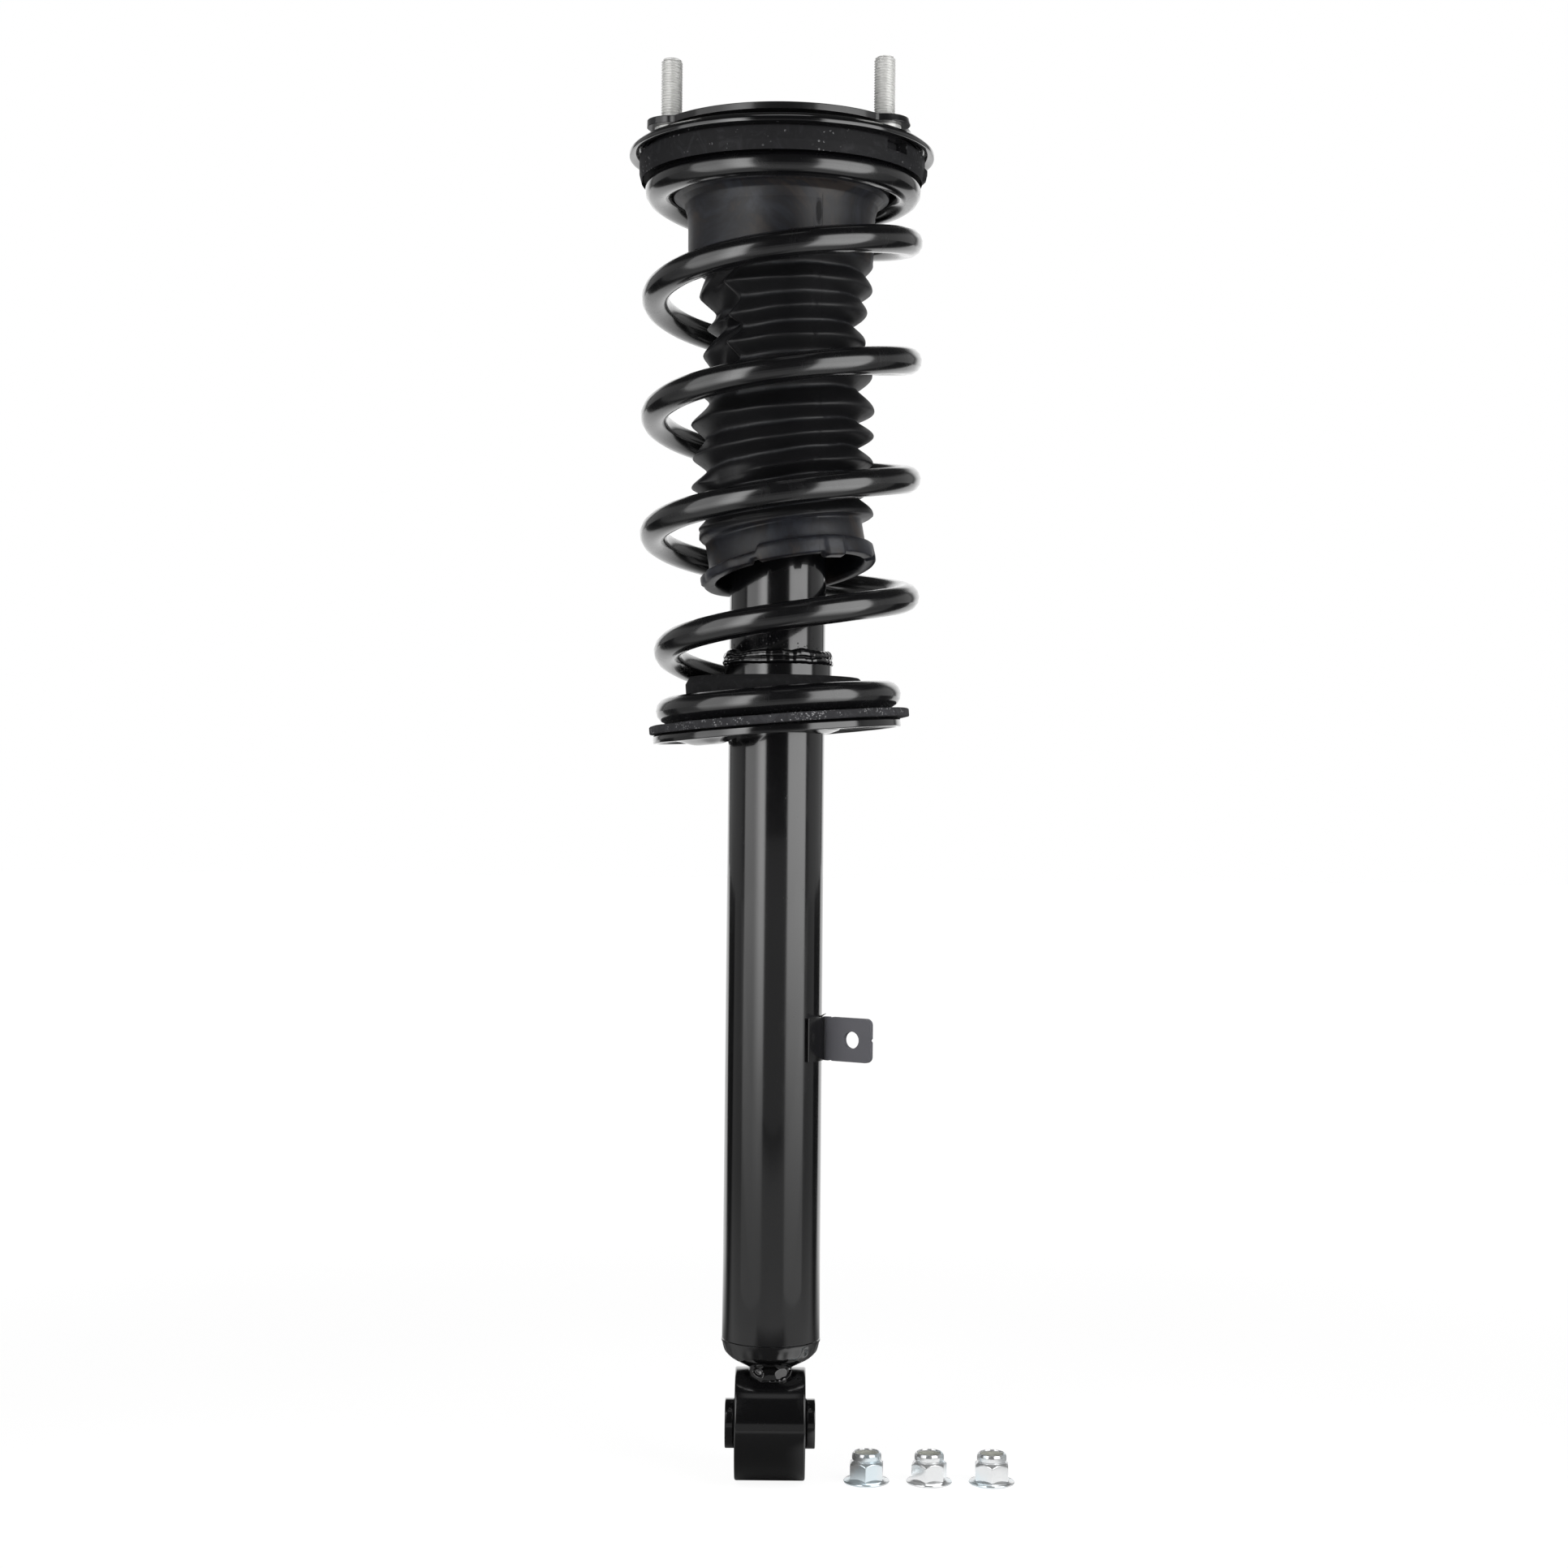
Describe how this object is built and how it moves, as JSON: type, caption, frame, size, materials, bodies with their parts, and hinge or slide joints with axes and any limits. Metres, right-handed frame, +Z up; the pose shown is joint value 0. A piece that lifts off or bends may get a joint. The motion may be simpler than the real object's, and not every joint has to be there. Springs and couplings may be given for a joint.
{
  "type": "strut assembly",
  "caption": "Coil-over suspension strut: twin-tube damper with a bushed lower eye, coil spring on rubber isolators, dust boot and a studded rubber top mount.",
  "frame": {"origin": "centre of the stud circle, on the top face of the mount plate", "axes": "+Z up along the damper axis, out of the plate on the studs' side; +X along the bolt through the lower eye, towards the hose bracket; +Y away from the hose bracket's ear"},
  "size_m": [0.1896, 0.1456, 0.6705],
  "materials": {
    "black_plate": "satin black paint",
    "black_gloss": "gloss black dip paint",
    "black_spring": "gloss black powder coat",
    "zinc_stud": "dull zinc plate",
    "zinc_nut": "bright zinc plate",
    "bare_steel": "plain machined steel",
    "chromed_rod": "polished hard chrome",
    "sintered_bronze": "oiled bronze",
    "isolator_rubber": "matte moulded rubber",
    "pad_rubber": "matte moulded rubber",
    "boot_rubber": "satin blow-moulded rubber",
    "bump_foam": "cellular polyurethane",
    "nylon": "natural nylon"
  },
  "bodies": {
    "top_mount": {"mount_plate": "black_plate", "upper_studs": "zinc_stud", "mount_rubber": "isolator_rubber", "mount_sleeve": "bare_steel", "rod_washer": "black_plate", "rod_nut": "zinc_nut", "seat_cushion": "isolator_rubber", "upper_seat": "black_gloss", "upper_isolator": "isolator_rubber", "bump_stop_cup": "black_plate", "bump_stop": "bump_foam", "dust_boot": "boot_rubber", "coil_spring": "black_spring", "piston_rod": "chromed_rod", "rebound_stop": "isolator_rubber", "valve_discs": "bare_steel", "piston": "bare_steel", "piston_band": "sintered_bronze", "piston_nut": "zinc_nut", "loose_nuts": "zinc_nut", "nut_inserts": "nylon"},
    "damper": {"bump_cap": "black_plate", "damper_tube": "black_gloss", "oil_seal": "isolator_rubber", "rod_guide": "bare_steel", "guide_bush": "sintered_bronze", "pressure_tube": "bare_steel", "base_valve": "bare_steel", "base_cap": "black_gloss", "lower_seat": "black_gloss", "seat_weld": "black_gloss", "lower_isolator": "pad_rubber", "hose_bracket": "black_gloss", "eye_weld": "black_gloss", "eye_ring": "black_gloss", "bush_shell": "bare_steel", "bush_rubber": "isolator_rubber"},
    "lower_bush": {"bush_sleeve": "black_gloss"}
  },
  "joints": [
    {"name": "damper_stroke", "type": "slide", "parent": "top_mount", "child": "damper", "axis": [0, 0, 1], "range_m": [0, 0.11], "stiffness_N_per_m": 37000, "springref_m": -0.032, "deforming": ["coil_spring", "dust_boot"]},
    {"name": "lower_bush_twist", "type": "hinge", "parent": "damper", "child": "lower_bush", "pos_m": [0, 0, -0.615], "axis": [1, 0, 0], "range_deg": [-15, 15], "stiffness_Nm_per_rad": 60}
  ]
}
